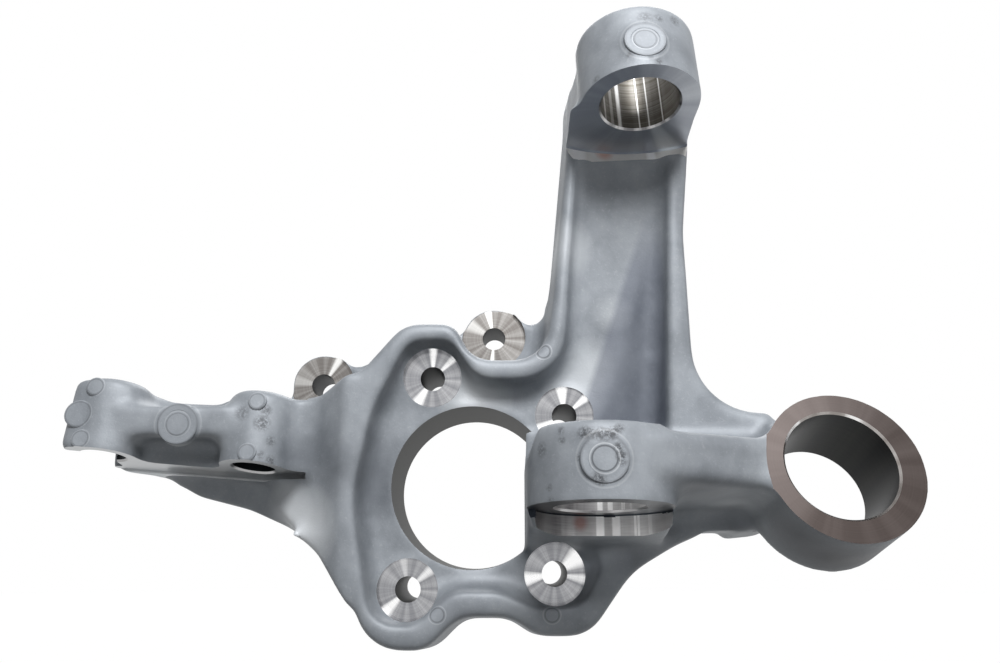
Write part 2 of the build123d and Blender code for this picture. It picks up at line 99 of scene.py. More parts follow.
# Shaved before the skin is eased: three outlines as x and z, and two bodies under the outer end of the arm.
PILLAR_CORNER = ((15.0, 7.0), (27.2, 7.0), (30.0, 14.9), (33.5, 22.5), (37.0, 32.0), (15.0, 32.0))
ARM_LEFT_EDGE = (
    (30.0, 232.0), (52.2, 232.0), (51.4, 206.0), (47.7, 168.0),
    (44.5, 131.0), (43.4, 120.0), (41.4, 106.0), (30.0, 106.0),
)
WEB_UNDERSIDE = ((104.0, -30.0), (117.0, -23.2), (132.0, -22.8), (139.0, -30.0), (139.0, -45.0), (104.0, -45.0))
OUTER_BOSS_SLOPE = (
    (-216.0, -69.5, 18.8), (-190.6, -69.5, 16.9), (-216.0, -40.0, 34.0), (-190.6, -40.0, 32.0),
    (-216.0, -69.5, 4.0), (-190.6, -69.5, 4.0), (-216.0, -40.0, 4.0), (-190.6, -40.0, 4.0),
)
FLANGE_TIP = (
    (-216.0, -42.0, 33.0), (-195.4, -42.0, 31.0), (-216.0, -12.0, 48.4), (-206.9, -12.0, 47.0),
    (-216.0, -42.0, 4.0), (-195.4, -42.0, 4.0), (-216.0, -12.0, 4.0), (-206.9, -12.0, 4.0),
)
# A plate over the middle boss that slopes up where the neck begins: across, and height above the boss.
BOSS_TOP_OUTLINE, BOSS_TOP_HALF = ((-45, 0), (20, 0), (36, 4.5), (36, 14), (-45, 14)), 40

# Marks left by the mould. A pad is its x and z, its radius and its depth from the hub's face.
MARK_R, MARK_GROOVE_R, MARK_PROUD, MARK_ROOT = 10.5, 5.8, 0.8, 3.5
PADS = (
    (-195.5, 50.7, 4.9, 74.2), (-202.5, 36.2, 7.3, 75.3), (-199.0, 23.1, 4.9, 77.9),
    (-110.6, 42.8, 4.7, 75.2), (-113.4, 16.1, 4.7, 79.2),
)
PAD_PROUD, PAD_ROOT, PAD_FACING = 0.6, 6.0, (0, -0.985, 0.17)
BAR_MARK = (-150.5, 30.8)
# Circles left by ejector pins, drawn in the skin only as dark rings with a painted highlight just outside each: x, z
# and the share of the dark ring in each.
EJECTORS, EJECTOR_R = ((37.2, 68.6, 0.6), (-16.2, -63.1, 0.5), (40.0, -63.0, 0.5)), 3.4

# How the raw skin is made: stock on machined faces, the remesh step, the fill of inside corners and the easing.
STOCK, VOXEL, CORNER_FILL = 3.0, 1.25, 6.0
EASE_ROUNDS, EASE_FILLED_ROUNDS, SOFTEN_ROUNDS, THIN_SHARE = 6, 4, 12, 0.3
# How far a cutter runs past what it cuts, and how deep the skim is that gives a face its own finish.
OVERRUN, HOLE_OVERRUN, SKIM, SKIM_OVERLAP = 8.0, 9.0, 1.0, 0.6
SHARP_DEGREES = 34

# Steps round a turned cutter.
STEPS, FINE_STEPS, HUB_STEPS, LEDGE_STEPS, HOLE_STEPS, MARK_STEPS = 96, 128, 160, 256, 48, 64

# The camera: 950 pixels of focal length on a 1000 pixel wide picture.
CAMERA_PLACE = (19.4, -559.0, -36.0)
CAMERA_YAW, CAMERA_PITCH = -0.57, 13.41
SENSOR_WIDTH, FOCAL_SHARE = 36.0, 0.95


# Places.


def seat(mouth, up, sideways=(1, 0, 0)):
    """The place of a machined seat: z runs up the bore and x across the part."""
    z = Vector(up).normalized()
    y = z.cross(Vector(sideways)).normalized()
    x = y.cross(z)
    place = Matrix((x, y, z)).transposed().to_4x4()
    place.translation = Vector(mouth) * MM
    return place


INBOARD = (0, -1, 0)
HEAD_SEAT = seat(HEAD_MOUTH, HEAD_UP)
BOSS_SEAT = seat(BOSS_MOUTH, BOSS_UP)
EYE_SEAT = seat(EYE_MOUTH, EYE_BACK)
ARM_INNER_SEAT = seat(ARM_INNER, ARM_UP)
ARM_OUTER_SEAT = seat(ARM_OUTER, ARM_UP)


def face_seat(x, z, depth):
    """A place on a face across the hub axis, with z running inboard."""
    return seat((x, -depth, z), INBOARD)


def outward(place, x, y, z):
    """A place on the front of a seat's barrel, with z running out of it."""
    return place @ Matrix.Translation((x * MM, y * MM, z * MM)) @ Matrix.Rotation(math.pi / 2, 4, "X")


def on_barrel(place, radius, across, height):
    """A point on the front of a seat's barrel, in millimetres: so far across from its axis and up along it."""
    front = -math.sqrt(radius * radius - across * across)
    return place @ (Vector((across, front, height)) * MM) / MM


HUB_SEAT = face_seat(0, 0, 0)
DISC_PLACES = (
    outward(HEAD_SEAT, 0, -HEAD_R, 15),
    outward(BOSS_SEAT, -0.8, -BOSS_R + 0.3, 16.8),
    face_seat(*BAR_MARK, RIB_DEPTH),
)

# Dirt and tones on the skin, with painted light and shade among them, and painted highlights and reflections on the
# machined faces, placed where the photograph shows them.

# Soot and scuffs: a seat and a radius, then for each spot how far across and up it lies, its reach and its share.
# Their places, and those of the broad tones, were measured from the photograph and then rounded.
SOOT_GROUPS = (
    (BOSS_SEAT, BOSS_R, (
        (-9.0, 28.0, 4.0, 0.9), (-5.5, 27.5, 3.5, 0.8), (6.0, 30.0, 3.0, 0.8), (-11.0, 17.5, 2.6, 0.6),
        (-19.0, 30.0, 2.6, 0.6), (-18.5, 25.5, 2.4, 0.6), (-27.0, 23.0, 4.2, 0.6), (-24.0, 6.0, 2.4, 0.5),
        (-23.5, 0.5, 2.2, 0.5),
    )),
    (BOSS_SEAT, BOSS_R + MARK_PROUD, (
        (-2.5, 27.5, 4.0, 0.9), (1.0, 27.0, 4.0, 0.9), (3.5, 28.0, 3.5, 0.9), (5.0, 21.5, 3.0, 0.9),
        (6.0, 18.0, 3.2, 0.9), (6.5, 15.5, 2.6, 0.8), (-4.5, 8.5, 3.4, 0.8), (-2.5, 7.5, 3.2, 0.8),
    )),
    (HEAD_SEAT, HEAD_R, (
        (1.5, 29.5, 5.5, 0.5), (8.5, 30.0, 3.2, 0.6), (17.5, 32.0, 4.0, 0.6), (5.5, 2.0, 2.6, 0.7),
        (-8.0, 7.0, 2.6, 0.6), (-24.5, 1.0, 3.4, 0.5),
    )),
    (ARM_INNER_SEAT, ARM_BOSS_R, (
        (-6.0, 24.5, 5.0, 0.5), (6.0, 27.0, 4.0, 0.7), (5.0, 20.0, 5.5, 0.8), (10.5, 11.5, 3.4, 0.6),
        (12.0, 1.5, 3.6, 0.7), (7.0, 3.5, 2.8, 0.6),
    )),
)
SOOT = [
    (on_barrel(place, radius, across, height), reach, share)
    for place, radius, spots in SOOT_GROUPS for across, height, reach, share in spots
]
# One more lies on the neck, right of the middle boss.
SOOT.append(((84.0, -138.0, 30.0), 4.0, 0.3))

# Broad tones: the place, the reach, the tone and its share. They hold some of the photograph's light and shade
# as well as the patchiness of the skin.
PALE, PALER, PALEST = "c4c8cc", "d0d4d8", "e0e4e8"
DULL, DARK, DARKEST = "3c4149", "2c3036", "1c1f24"
LIGHT_SHADE_AND_PATCHINESS = (
    # The web above the hub bore, at the foot of the tall arm and left of the bore.
    ((1.0, -FLOOR_DEPTH, 48.0), 16.0, PALER, 0.9), ((54.0, -FLOOR_DEPTH, 48.0), 14.0, PALE, 0.6),
    ((62.5, -FLOOR_DEPTH, 64.0), 12.0, PALE, 0.6), ((-50.5, -FLOOR_DEPTH, 8.5), 20.0, DULL, 0.55),
    ((-45.0, -FLOOR_DEPTH, -7.0), 16.0, DULL, 0.35),
    # The tall arm: its left rib, its ridge and the right of its head.
    ((45.0, -62.5, 128.0), 16.0, PALER, 0.9), ((75.0, -63.5, 92.0), 9.0, PALE, 0.4),
    ((110.5, -126.0, 207.0), 12.0, DULL, 0.4),
    # The flank, below the left arm's foot and beside its inner boss.
    ((-81.5, -55.0, -22.0), 19.0, PALEST, 0.9), ((-93.5, -46.0, -14.0), 16.0, PALEST, 0.9),
    ((-79.5, -65.0, 24.0), 12.0, DULL, 0.35), ((-90.5, -59.5, 14.0), 12.0, DULL, 0.55),
    ((-69.5, -73.0, 7.5), 12.0, DULL, 0.35),
    # The undersides of the neck and of the eye, darkened as painted shade.
    ((105.5, -122.5, -6.0), 14.0, DULL, 0.6), ((100.0, -128.0, -5.5), 12.0, DULL, 0.5),
    ((126.0, -92.0, -13.0), 9.0, PALE, 0.6), ((131.5, -75.5, -21.5), 15.0, DULL, 0.55),
    ((168.0, -105.0, -36.0), 24.0, DARKEST, 0.9), ((152.5, -112.0, -25.5), 16.0, DARK, 0.8),
    ((185.0, -98.0, -34.0), 20.0, DARKEST, 0.9),
    # The rib below the hub bore, and the side and front of the pillar.
    ((83.5, -RIB_DEPTH, -37.0), 13.0, DULL, 0.4), ((-10.0, -RIB_DEPTH, -61.5), 14.0, DULL, 0.25),
    ((64.5, -68.0, -37.0), 14.0, "aeb4bd", 0.7), ((62.0, -110.0, -28.0), 14.0, "b4bac4", 0.7),
)

# The floor of the tall arm's channel is drawn darker right of its ridge as painted shade, the ridge a slanted line
# given by its x at z = 0 and its slope. The rows that follow bound that floor: the axis, where it is bare and where it
# is full.
RIDGE_X, RIDGE_SLOPE, RIDGE_HALF, FLOOR_SHADE_TONE, FLOOR_SHADE_SHARE = 44.1, 0.343, 2.0, "4a5060", 0.5
FLOOR_BOUNDS = (
    ("X", 105.0, 100.0), ("Z", 24.0, 30.0), ("Z", 150.0, 120.0), ("Y", -72.0, -68.0), ("Y", -48.0, -52.0),
)

# Thin dark rings, each with a paler ring just outside it as a painted highlight: the middle, the radius, half the
# width and the share.
DISC_RING_LINES = (
    ((5.4, 0.5, 0.45), (10.0, 1.1, 0.3)), ((5.4, 0.55, 0.8), (10.2, 1.0, 0.35)), ((5.6, 0.5, 0.35), (10.2, 0.9, 0.3)),
)
RING_LINES_AND_HIGHLIGHTS = [
    (place @ Vector((0, 0, MARK_PROUD * MM)) / MM, *ring)
    for place, rings in zip(DISC_PLACES, DISC_RING_LINES) for ring in rings
]
RING_LINES_AND_HIGHLIGHTS += [((x, -RIB_DEPTH, z), EJECTOR_R, 0.5, share) for x, z, share in EJECTORS]
RING_LINES_AND_HIGHLIGHTS += [((x, -depth - PAD_PROUD, z), radius - 0.9, 0.45, 0.4) for x, z, radius, depth in PADS]

# Painted highlights and reflections on machined faces, as bright beams and streaks: the angle about the axis, half the
# width in degrees, the share.
SPOTFACE_HIGHLIGHTS = (
    ((90.0, 10.0, 0.9), (45.0, 9.0, 0.7), (-122.0, 14.0, 0.9)),
    ((95.0, 14.0, 1.0), (40.0, 10.0, 0.9), (-150.0, 16.0, 1.0)),
    ((35.0, 24.0, 1.0), (-170.0, 16.0, 0.9), (-10.0, 12.0, 0.5)),
    ((40.0, 12.0, 0.6), (-135.0, 14.0, 0.8), (100.0, 10.0, 0.4)),
)
EAR_HIGHLIGHTS = (
    ((102.0, 9.0, 0.9), (-95.0, 7.0, 0.8), (150.0, 16.0, 0.25)),
    ((60.0, 9.0, 0.7), (-100.0, 9.0, 0.6), (170.0, 14.0, 0.3)),
)
HEAD_HIGHLIGHTS = ((62.0, 9.0, 0.7), (-20.0, 14.0, 0.3))
LEDGE_HIGHLIGHTS = ((75.6, 4.0, 1.0), (131.0, 7.0, 0.7))
BORE_HIGHLIGHTS = (
    (114.2, 4.0, 0.95), (83.4, 1.3, 0.7), (69.1, 1.3, 0.7), (46.9, 1.3, 0.7), (144.0, 3.0, 0.6), (128.0, 4.0, 0.3),
)
SLOT_HIGHLIGHTS = (
    (85.5, 4.0, 1.0), (72.0, 4.0, 1.0), (55.5, 1.2, 0.9), (52.5, 1.2, 0.9), (41.6, 2.0, 0.9), (75.0, 40.0, 0.3),
    (20.0, 42.0, 0.7),
)
EYE_EDGE_HIGHLIGHTS = ((-140.0, 12.0, 1.0), (-125.0, 6.0, 0.8), (-60.0, 10.0, 0.6), (130.0, 30.0, 0.5))
FOOT_HIGHLIGHTS = ((141.0, 14.0, 1.0), (50.0, 12.0, 0.5))

# Two spots of warm reflected colour: the tone, the place and the reach.
LEDGE_TINT = ("c07a60", (72.1, -69.8, 182.1), 6.0)
SLOT_TINT = ("8a5248", (53.3, -95.0, -19.5), 5.0)


# Materials.

# Pattern sizes in millimetres. Shot leaves dents of about 0.3 and a tool leaves lines of about 0.2, both too fine
# for the picture, so GRAIN and TOOL_LINE are drawn as coarse as they need to show.
CLOUDS, SPECKS, DIRT, SWELLS, GRAIN, TOOL_LINE = 24.0, 1.6, 1.3, 13.0, 1.1, 0.7
# The scale of the spokes of painted sheen round a turned face's axis.
SHEEN_SPOKES = 3.2


def colour(hex_code):
    """An sRGB hex value as linear red, green, blue and alpha."""
    parts = [int(hex_code[i:i + 2], 16) / 255 for i in (0, 2, 4)]
    linear = [p / 12.92 if p <= 0.04045 else ((p + 0.055) / 1.055) ** 2.4 for p in parts]
    return (*linear, 1.0)


def add(tree, kind, sockets=None, output=0, **properties):
    """Adds a node, sets its properties, fills or links its inputs, and gives one of its outputs."""
    node = tree.nodes.new(kind)
    for name, value in properties.items():
        setattr(node, name, value)
    for name, value in (sockets or {}).items():
        if isinstance(value, bpy.types.NodeSocket):
            tree.links.new(value, node.inputs[name])
        else:
            node.inputs[name].default_value = value
    return node.outputs[output]


def new_material(name):
    """An empty node material with its Principled shader."""
    material = bpy.data.materials.new(name)
    material.use_nodes = True
    tree = material.node_tree
    return material, tree, tree.nodes["Principled BSDF"]


def laid_over(tree, tone, other, mask, share):
    """A tone with another hex tone laid over it where a mask is 1, as far as a share allows."""
    amount = add(tree, "ShaderNodeMath", {0: mask, 1: share}, operation="MULTIPLY")
    return add(tree, "ShaderNodeMix", {0: amount, 6: tone, 7: colour(other)}, 2, data_type="RGBA")


def near(tree, place, centre, core, reach):
    """1 within a core round a point of the part, fading to 0 at this reach from it."""
    away = add(tree, "ShaderNodeVectorMath", {0: place, 1: Vector(centre) * MM}, "Value", operation="DISTANCE")
    return add(tree, "ShaderNodeMapRange", {"Value": away, "From Min": reach * MM, "From Max": core * MM})


def ring_line(tree, place, centre, radius, width):
    """1 on a thin ring about a point of the part, 0 off it."""
    away = add(tree, "ShaderNodeVectorMath", {0: place, 1: Vector(centre) * MM}, "Value", operation="DISTANCE")
    off = add(tree, "ShaderNodeMath", {0: away, 1: radius * MM}, operation="SUBTRACT")
    off = add(tree, "ShaderNodeMath", {0: off}, operation="ABSOLUTE")
    return add(tree, "ShaderNodeMapRange", {"Value": off, "From Min": width * MM, "From Max": 0.3 * width * MM})


def shaded_channel_floor(tree, place):
    """1 on the channel's floor right of its ridge, where the painted shade goes, 0 elsewhere."""
    axes = add(tree, "ShaderNodeSeparateXYZ", {"Vector": place}).node.outputs
    slant = add(tree, "ShaderNodeMath", {0: axes["Z"], 1: RIDGE_SLOPE}, operation="MULTIPLY")
    past = add(tree, "ShaderNodeMath", {0: axes["X"], 1: slant}, operation="SUBTRACT")
    low, high = (RIDGE_X - RIDGE_HALF) * MM, (RIDGE_X + RIDGE_HALF) * MM
    mask = add(tree, "ShaderNodeMapRange", {"Value": past, "From Min": low, "From Max": high})
    for axis, bare, full in FLOOR_BOUNDS:
        side = add(tree, "ShaderNodeMapRange", {"Value": axes[axis], "From Min": bare * MM, "From Max": full * MM})
        mask = add(tree, "ShaderNodeMath", {0: mask, 1: side}, operation="MULTIPLY")
    return mask


def shot_blasted_aluminium():
    """Die-cast aluminium, shot blasted: a dull blue-grey skin, cloudy and finely grained, with soot and scuffs, thin
    dark rings with painted highlights beside them, and painted light and shade in broad tones and on the channel's
    floor.
    """
    material, tree, shader = new_material("shot_blasted_cast_aluminium")
    place = add(tree, "ShaderNodeTexCoord", output="Object")
    clouds = add(
        tree, "ShaderNodeTexNoise", {"Vector": place, "Scale": 1 / (CLOUDS * MM), "Detail": 4.0, "Roughness": 0.6},
    )
    cloudy = add(tree, "ShaderNodeMapRange", {"Value": clouds, "From Min": 0.32, "From Max": 0.68})
    tone = add(tree, "ShaderNodeMix", {0: cloudy, 6: colour("74797f"), 7: colour("90959b")}, 2, data_type="RGBA")
    specks = add(
        tree, "ShaderNodeTexNoise", {"Vector": place, "Scale": 1 / (SPECKS * MM), "Detail": 2.0, "Roughness": 0.7},
    )
    specks = add(tree, "ShaderNodeMapRange", {"Value": specks, "From Min": 0.58, "From Max": 0.72})
    tone = laid_over(tree, tone, "b9bdc1", specks, 0.14)
    # Broad tones laid over the skin: painted light and shade, and the skin's own patchiness.
    for centre, reach, patch, share in LIGHT_SHADE_AND_PATCHINESS:
        tone = laid_over(tree, tone, patch, near(tree, place, centre, 0.1 * reach, 1.35 * reach), share)
    # Painted shade on the channel's floor right of its ridge.
    tone = laid_over(tree, tone, FLOOR_SHADE_TONE, shaded_channel_floor(tree, place), FLOOR_SHADE_SHARE)
    dirt = add(
        tree, "ShaderNodeTexNoise", {"Vector": place, "Scale": 1 / (DIRT * MM), "Detail": 4.0, "Roughness": 0.7},
    )
    dirt = add(tree, "ShaderNodeMapRange", {"Value": dirt, "From Min": 0.38, "From Max": 0.56})
    for centre, reach, share in SOOT:
        spot = near(tree, place, centre, 0.35 * reach, reach)
        spot = add(tree, "ShaderNodeMath", {0: spot, 1: dirt}, operation="MULTIPLY")
        tone = laid_over(tree, tone, "34363a", spot, share)
    for centre, radius, width, share in RING_LINES_AND_HIGHLIGHTS:
        tone = laid_over(tree, tone, "3e4146", ring_line(tree, place, centre, radius, width), share)
        # A paler ring just outside each dark ring: a painted highlight on its lip.
        lip_highlight = ring_line(tree, place, centre, radius + 2 * width, 0.7 * width)
        tone = laid_over(tree, tone, "c9ccd0", lip_highlight, 0.5 * share)
    tree.links.new(tone, shader.inputs["Base Color"])
    swells = add(
        tree, "ShaderNodeTexNoise", {"Vector": place, "Scale": 1 / (SWELLS * MM), "Detail": 1.0, "Roughness": 0.55},
    )
    uneven = add(tree, "ShaderNodeBump", {"Height": swells, "Strength": 0.3, "Distance": 0.8 * MM})
    grain = add(
        tree, "ShaderNodeTexNoise", {"Vector": place, "Scale": 1 / (GRAIN * MM), "Detail": 2.0, "Roughness": 0.7},
    )
    grained = add(
        tree, "ShaderNodeBump", {"Height": grain, "Normal": uneven, "Strength": 0.5, "Distance": 0.16 * MM},
    )
    tree.links.new(grained, shader.inputs["Normal"])
    rough = add(tree, "ShaderNodeMath", {0: clouds, 1: 0.25, 2: 0.42}, operation="MULTIPLY_ADD")
    tree.links.new(rough, shader.inputs["Roughness"])
    shader.inputs["Metallic"].default_value = 0.2
    return material


def turned_aluminium(name, centre, axis, dark, light, highlight_beams=(), rough=0.28, spoke_sheen=0.25, warm_reflection=None, metal=1.0):
    """Aluminium cut on a lathe or mill: fine rings about its axis, with spokes of painted sheen, painted highlights as
    beams at set angles and, if given, a warm painted reflection.
    """
    material, tree, shader = new_material(name)
    place = add(tree, "ShaderNodeTexCoord", output="Object")
    turn = Vector((0, 0, 1)).rotation_difference(Vector(axis).normalized()).inverted()
    local = add(tree, "ShaderNodeMapping", {
        "Vector": place, "Rotation": turn.to_euler(), "Location": turn @ (-Vector(centre) * MM),
    })
    axes = add(tree, "ShaderNodeSeparateXYZ", {"Vector": local}).node.outputs
    flat = add(tree, "ShaderNodeCombineXYZ", {"X": axes["X"], "Y": axes["Y"]})
    radius = add(tree, "ShaderNodeVectorMath", {0: flat}, "Value", operation="LENGTH")
    way = add(tree, "ShaderNodeVectorMath", {0: flat}, "Vector", operation="NORMALIZE")
    path = add(tree, "ShaderNodeCombineXYZ", {"X": radius, "Y": axes["Z"]})
    lines = add(
        tree, "ShaderNodeTexNoise", {"Vector": path, "Scale": 1 / (TOOL_LINE * MM), "Detail": 2.0, "Roughness": 0.55},
    )
    # Spokes of painted sheen about the axis.
    sheen_spokes = add(tree, "ShaderNodeTexNoise", {"Vector": way, "Scale": SHEEN_SPOKES, "Detail": 4.0})
    sheen_spokes = add(tree, "ShaderNodeMapRange", {"Value": sheen_spokes, "From Min": 0.42, "From Max": 0.7})
    glow = add(tree, "ShaderNodeMath", {0: sheen_spokes, 1: spoke_sheen}, operation="MULTIPLY")
    masks = []
    # Bright beams at set angles: painted highlights.
    for angle, width, share in highlight_beams:
        ahead = (math.cos(math.radians(angle)), math.sin(math.radians(angle)), 0)
        along = add(tree, "ShaderNodeVectorMath", {0: way, 1: ahead}, "Value", operation="DOT_PRODUCT")
        edge, core = math.cos(math.radians(width)), math.cos(math.radians(0.3 * width))
        masks.append((add(tree, "ShaderNodeMapRange", {"Value": along, "From Min": edge, "From Max": core}), share))
    masks.append((add(tree, "ShaderNodeMapRange", {"Value": lines, "From Min": 0.4, "From Max": 0.75}), 0.12))
    for mask, share in masks:
        part = add(tree, "ShaderNodeMath", {0: mask, 1: share}, operation="MULTIPLY")
        glow = add(tree, "ShaderNodeMath", {0: glow, 1: part}, operation="ADD", use_clamp=True)
    tone = add(tree, "ShaderNodeMix", {0: glow, 6: colour(dark), 7: colour(light)}, 2, data_type="RGBA")
    # A warm spot painted as a reflection.
    if warm_reflection:
        hex_code, spot, reach = warm_reflection
        tone = laid_over(tree, tone, hex_code, near(tree, place, spot, 0.35 * reach, reach), 0.6)
    tree.links.new(tone, shader.inputs["Base Color"])
    bump = add(tree, "ShaderNodeBump", {"Height": lines, "Strength": 0.4, "Distance": 0.04 * MM})
    tree.links.new(bump, shader.inputs["Normal"])
    shader.inputs["Metallic"].default_value = metal
    shader.inputs["Roughness"].default_value = rough
    return material


def seen_directly(tree):
    """1 for what the camera sees, itself or through a reflection or glass, and 0 for light on the part."""
    path = add(tree, "ShaderNodeLightPath").node.outputs
    total = path["Is Camera Ray"]
    for ray in ("Is Glossy Ray", "Is Transmission Ray"):
        total = add(tree, "ShaderNodeMath", {0: total, 1: path[ray]}, operation="ADD", use_clamp=True)
    return total


def pale_paper():
    """The plain floor: matt paper, white to the camera and grey only where a shadow falls."""
    material, tree, shader = new_material("pale_paper")
    shader.inputs["Base Color"].default_value = colour("444442")
    shader.inputs["Roughness"].default_value = 0.9
    glow = add(tree, "ShaderNodeEmission", {"Color": colour("f5f5f5"), "Strength": seen_directly(tree)})
    both = add(tree, "ShaderNodeAddShader", {0: shader.outputs["BSDF"], 1: glow})
    tree.links.new(both, tree.nodes["Material Output"].inputs["Surface"])
    return material


# Shapes.


def lathe(profile, place, steps=STEPS):
    """A closed turned solid: (radius, height) points in millimetres, spun about the place's z axis."""
    mesh = bmesh.new()
    verts = [mesh.verts.new((r * MM, 0, h * MM)) for r, h in profile]
    edges = [mesh.edges.new((a, b)) for a, b in zip(verts, verts[1:])]
    bmesh.ops.spin(
        mesh, geom=verts + edges, cent=(0, 0, 0), axis=(0, 0, 1), angle=math.tau, steps=steps, use_merge=True,
    )
    bmesh.ops.remove_doubles(mesh, verts=mesh.verts, dist=1e-6)
    bmesh.ops.recalc_face_normals(mesh, faces=mesh.faces)
    bmesh.ops.transform(mesh, matrix=place, verts=mesh.verts)
    return mesh


def disc(radius, low, high, place, steps=STEPS):
    """A plain round plate between two heights."""
    return lathe([(0, low), (radius, low), (radius, high), (0, high)], place, steps)


def bore_edges(radius, length, place, steps):
    """The cutters of the chamfers at both ends of a bore."""
    ends = []
    for height, way in ((0, 1), (length, -1)):
        low, high = height - way * CHAMFER, height + 2 * way * CHAMFER
        ends.append(lathe([(0, low), (radius + 2 * CHAMFER, low), (radius - CHAMFER, high), (0, high)], place, steps))
    return ends


def hull(points):
    """The convex body round some points in millimetres."""
    mesh = bmesh.new()
    for point in points:
        mesh.verts.new(Vector(point) * MM)
    bmesh.ops.convex_hull(mesh, input=mesh.verts)
    bmesh.ops.recalc_face_normals(mesh, faces=mesh.faces)
    return mesh


def prism(outline, near_depth, far_depth):
    """The convex body between two depths whose outline is given as x and z."""
    return hull([(x, -depth, z) for x, z in outline for depth in (near_depth, far_depth)])


def trimmed(mesh, place, inward, reach):
    """What is left of a solid on the near side of a plane: inward is the plane's normal in a seat's own axes."""
    normal = place.to_3x3() @ Vector(inward)
    point = place.translation + normal * reach * MM
    found = bmesh.ops.bisect_plane(
        mesh, geom=mesh.verts[:] + mesh.edges[:] + mesh.faces[:], plane_co=point, plane_no=normal, clear_outer=True,
    )
    edges = [g for g in found["geom_cut"] if isinstance(g, bmesh.types.BMEdge)]
    bmesh.ops.contextual_create(mesh, geom=edges)
    bmesh.ops.recalc_face_normals(mesh, faces=mesh.faces)
    return mesh


def block(low, high, place):
    """A box between two corners in millimetres."""
    mesh = bmesh.new()
    bmesh.ops.create_cube(mesh, size=1.0)
    size = [b - a for a, b in zip(low, high)]
    middle = [(a + b) / 2 for a, b in zip(low, high)]
    bmesh.ops.scale(mesh, vec=[s * MM for s in size], verts=mesh.verts)
    bmesh.ops.translate(mesh, vec=[m * MM for m in middle], verts=mesh.verts)
    bmesh.ops.transform(mesh, matrix=place, verts=mesh.verts)
    return mesh


def join(target, meshes):
    """Puts several bmeshes into one."""
    for part in meshes:
        loose = bpy.data.meshes.new("loose")
        part.to_mesh(loose)
        part.free()
        target.from_mesh(loose)
        bpy.data.meshes.remove(loose)


def scratch_object(name, parts, material=None):
    """An object that holds a cutter or an addition while the casting is made."""
    mesh = bmesh.new()
    join(mesh, parts)
    data = bpy.data.meshes.new(name)
    mesh.to_mesh(data)
    mesh.free()
    if material:
        data.materials.append(material)
    made = bpy.data.objects.new(name, data)
    bpy.context.scene.collection.objects.link(made)
    return made


# The raw casting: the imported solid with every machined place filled, then rounded as a mould leaves it.


def shifted(place, x, y):
    """A seat moved across its own axes."""
    return place @ Matrix.Translation((x * MM, y * MM, 0))


def machining_stock():
    """What the cutters will take off: it fills the bores and stands proud of the machined faces."""
    parts = [
        disc(HEAD_BORE_R + 0.5, -STOCK, HEAD_LENGTH + STOCK, HEAD_SEAT),
        disc(HEAD_R, -STOCK, 1, HEAD_SEAT),
        block((-37, 0, -STOCK), (29, 40, 1), HEAD_SEAT),
        disc(BOSS_BORE_R + 0.5, -STOCK, BOSS_LENGTH + STOCK, BOSS_SEAT),
        disc(BOSS_R, -STOCK, 1, BOSS_SEAT),
        block((-31, 7, -LEDGE_HEIGHT - 1), (34, 30, 1), BOSS_SEAT),
        disc(EYE_BORE_R + 0.5, -STOCK, EYE_LENGTH + STOCK, EYE_SEAT),
        disc(EYE_R, -STOCK, 1, shifted(EYE_SEAT, *EYE_SHIFT)),
        disc(HUB_BORE_R + 0.5, -STOCK, FLOOR_DEPTH + 1, HUB_SEAT),
        disc(HUB_BORE_R + BARREL_WALL, -STOCK, 1, HUB_SEAT),
    ]
    for place in (ARM_INNER_SEAT, ARM_OUTER_SEAT):
        parts.append(disc(ARM_BORE_R + 0.5, -STOCK, ARM_LENGTH + STOCK, place))
        parts.append(disc(ARM_BOSS_R, -STOCK, 1, place))
    parts.append(block((-80, 8, -STOCK), (2, 26, 1), ARM_INNER_SEAT))
    parts += [hull(FLANK_FILL), hull(FOOT_FRONT_FILL), hull(ARM_GROOVE_FILL)]
    for x, z in BOLT_PLACES:
        parts.append(disc(BOLT_HOLE_R + 0.5, -STOCK, FLOOR_DEPTH, face_seat(x, z, 0)))
        parts.append(disc(SPOTFACE_R, FLOOR_DEPTH - 2, FLOOR_DEPTH + 1, face_seat(x, z, 0)))
        parts.append(disc(SPOTFACE_R, -STOCK, 1, face_seat(x, z, 0)))
    for x, z in EAR_HOLES:
        parts.append(disc(EAR_R, -EAR_BACK - STOCK, EAR_FACE_DEPTH + 1, face_seat(x, z, 0)))
    return parts


def remesh(made, name):
    """Gives the casting one even closed skin."""
    step = made.modifiers.new(name, "REMESH")
    step.mode, step.voxel_size = "VOXEL", VOXEL * MM


def soften(made, name, rounds):
    """Rounds the skin's edges a little."""
    step = made.modifiers.new(name, "SMOOTH")
    step.factor, step.iterations = 0.5, rounds


def swell(made, name, distance):
    """Moves the skin along its normals: out and back again leaves every inside corner filled."""
    step = made.modifiers.new(name, "DISPLACE")
    step.direction, step.mid_level, step.strength = "NORMAL", 0.0, distance * MM


def cut(casting, name, parts, material=None, mode="DIFFERENCE"):
    """Adds one boolean step to the casting."""
    tool = scratch_object(name, parts, material)
    step = casting.modifiers.new(name, "BOOLEAN")
    step.operation, step.object = mode, tool
    step.solver, step.material_mode = "MANIFOLD", "TRANSFER"
    return tool


def boss_top_cutter():
    """The corners of the plate that shaves the middle boss's top."""
    return [
        (BOSS_SEAT @ (Vector((x, y, BOSS_LENGTH + z)) * MM)) / MM
        for x, z in BOSS_TOP_OUTLINE for y in (-BOSS_TOP_HALF, BOSS_TOP_HALF)
    ]


def beside_pillar():
    """The part of the hub bore's cylinder that runs forward beside the pillar."""
    plate = disc(HUB_BORE_R, FLOOR_DEPTH - 0.5, FLOOR_DEPTH + 24, HUB_SEAT, HUB_STEPS)
    return trimmed(plate, Matrix.Identity(4), (1, 0, 0), PILLAR_LEFT)


